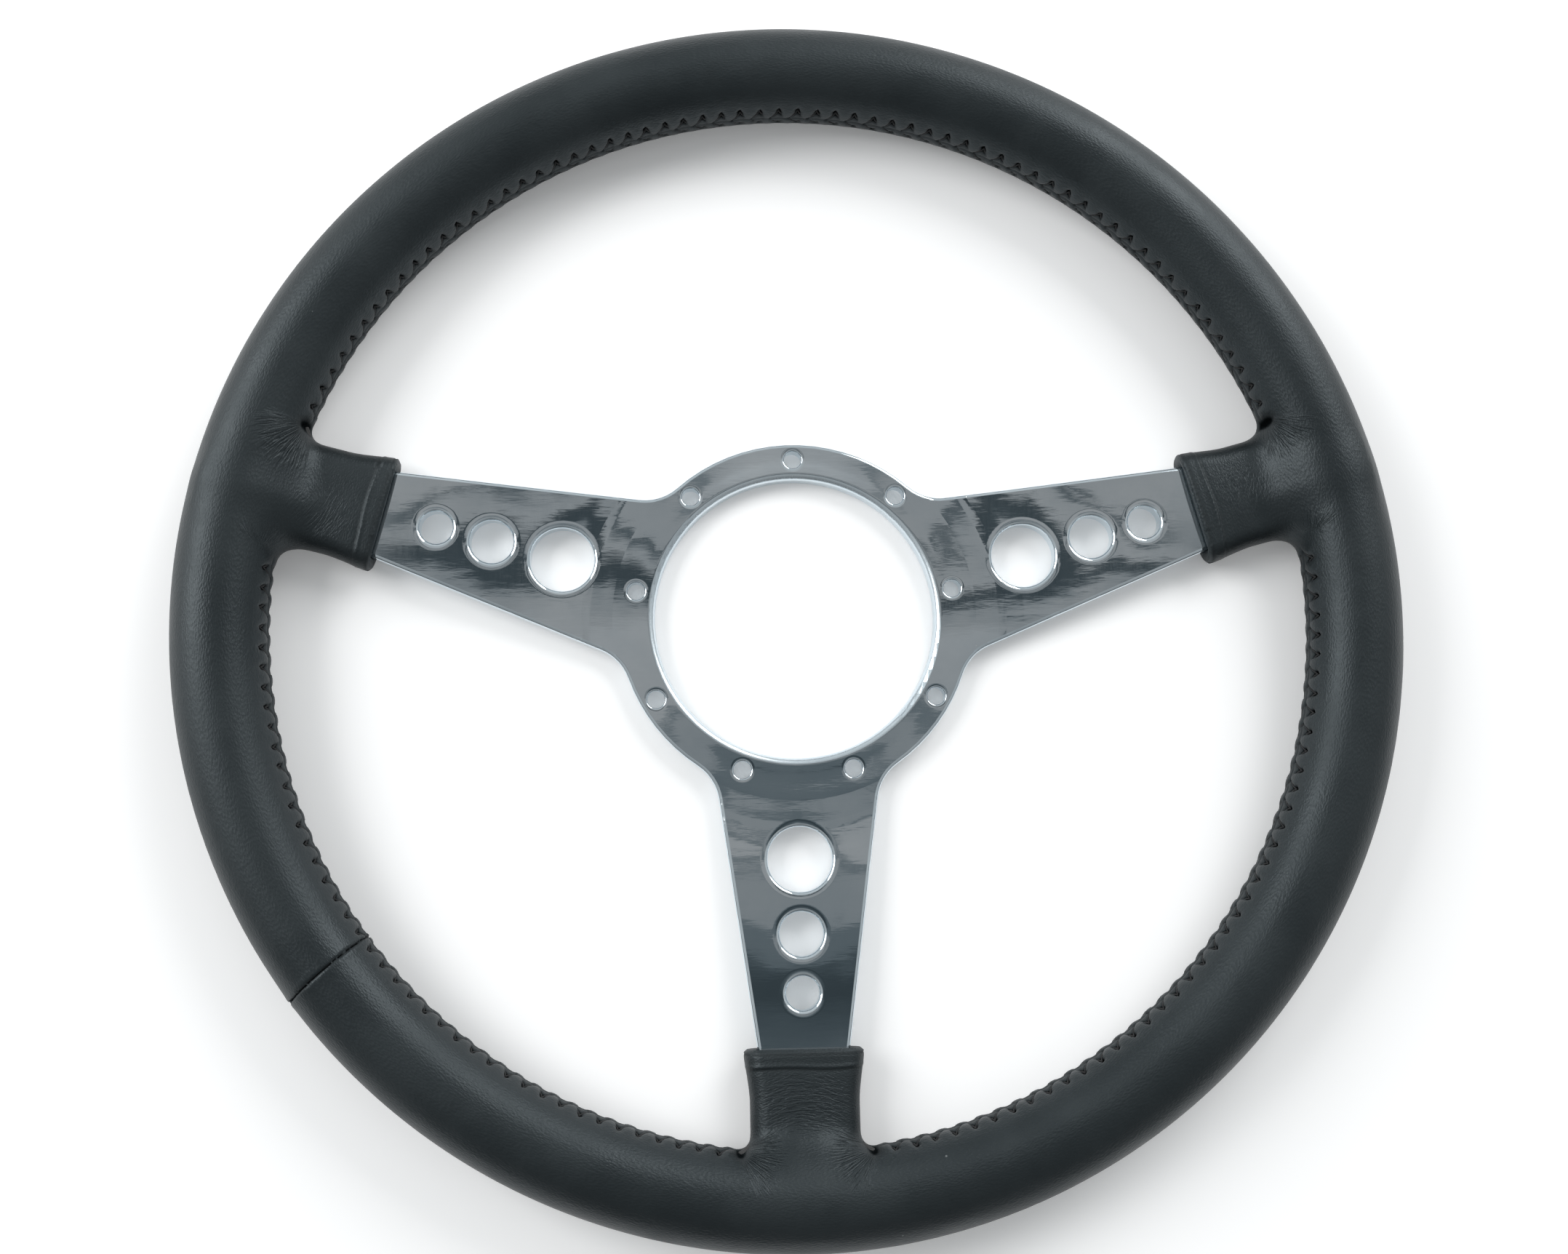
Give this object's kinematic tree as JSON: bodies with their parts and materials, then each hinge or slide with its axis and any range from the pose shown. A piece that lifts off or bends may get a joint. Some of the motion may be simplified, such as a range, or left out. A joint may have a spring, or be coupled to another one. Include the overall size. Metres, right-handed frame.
{
  "type": "car steering wheel",
  "caption": "Car steering wheel with a polished alloy centre plate, drilled tapered spokes, an open bolt-on hub and a laced black leather rim.",
  "frame": {"origin": "centre of the hub's back face, which bolts to the boss", "axes": "+Z along the wheel's axis towards the driver, +Y to the top of the wheel, +X to the driver's right"},
  "size_m": [0.381, 0.381, 0.0289],
  "materials": {
    "polished_alloy": "polished",
    "moulded_grip": "matte",
    "black_leather": "satin",
    "black_thread": "waxed"
  },
  "bodies": {
    "root": {"spider": "polished_alloy", "rim_core": "moulded_grip", "leather_cover": "black_leather", "lacing_top": "black_thread", "lacing_left": "black_thread", "lacing_right": "black_thread", "sleeve_stitching_left": "black_thread", "sleeve_stitching_right": "black_thread", "sleeve_stitching_bottom": "black_thread"}
  },
  "joints": []
}
